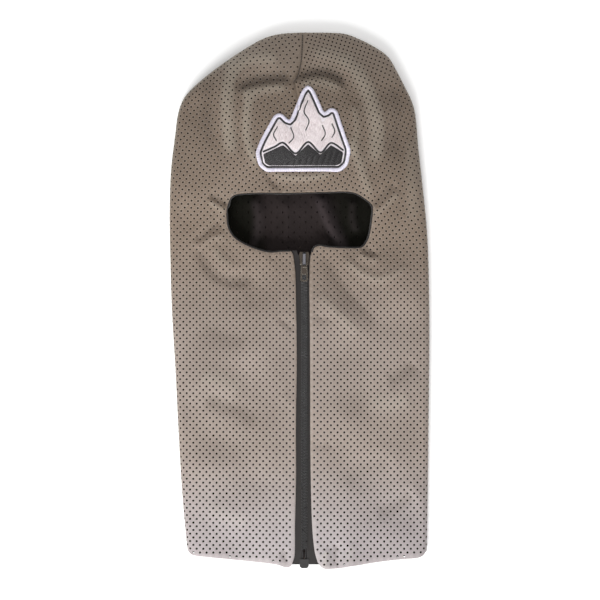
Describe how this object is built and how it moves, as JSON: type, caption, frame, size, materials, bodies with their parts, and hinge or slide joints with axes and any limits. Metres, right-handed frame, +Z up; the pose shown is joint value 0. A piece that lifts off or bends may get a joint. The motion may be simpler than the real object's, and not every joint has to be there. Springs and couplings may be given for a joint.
{
  "type": "zip-front hood balaclava",
  "caption": "Long two-layer hood balaclava with an eye opening, a full-length front separating zip with a sliding pull, and a sewn embroidered patch on the forehead.",
  "frame": {"origin": "centre of the footprint on the table, under the back of the hood as it lies flat", "axes": "+Z up from the table through the front of the hood, +Y from the hem to the crown, +X to the right as seen from the front with the crown up"},
  "size_m": [0.2479, 0.513, 0.0395],
  "materials": {
    "shell_cloth": "soft sheen, perforated",
    "lining_cloth": "matte mesh",
    "edge_cloth": "matte",
    "patch_cloth": "satin stitch",
    "border_thread": "merrowed thread",
    "white_thread": "satin thread",
    "black_thread": "satin thread",
    "zip_tape": "woven",
    "zip_plastic": "moulded satin",
    "clear_film": "clear film over tape",
    "slider_metal": "black lacquer worn at the edges",
    "spring_steel": "bright"
  },
  "bodies": {
    "hood": {"outer_shell_left": "shell_cloth", "outer_shell_right": "shell_cloth", "lining_left": "lining_cloth", "lining_right": "lining_cloth", "eye_edge_roll": "edge_cloth", "patch_base": "patch_cloth", "patch_border": "border_thread", "patch_snow_stitching": "white_thread", "patch_rock_stitching": "black_thread", "zip_tape_left": "zip_tape", "zip_tape_right": "zip_tape", "zip_cord_left": "zip_tape", "zip_cord_right": "zip_tape", "zip_teeth_left": "zip_plastic", "zip_teeth_right": "zip_plastic", "top_stop_left": "zip_plastic", "top_stop_right": "zip_plastic", "tape_end_film_left": "clear_film", "tape_end_film_right": "clear_film", "insertion_pin": "zip_plastic", "retainer_pin": "zip_plastic", "retainer_box": "zip_plastic"},
    "slider": {"slider_body": "slider_metal", "slider_bridge": "slider_metal", "lock_spring": "spring_steel"},
    "pull": {"pull_tab": "slider_metal"}
  },
  "joints": [
    {"name": "zip_slide", "type": "slide", "parent": "hood", "child": "slider", "axis": [0, -1, 0], "range_m": [0, 0.2788], "deforming": ["zip_teeth_left", "zip_teeth_right"]},
    {"name": "pull_flip", "type": "hinge", "parent": "slider", "child": "pull", "pos_m": [0.004, 0.0359, 0.02195], "axis": [-1, 0, 0], "range_deg": [0, 120]}
  ]
}
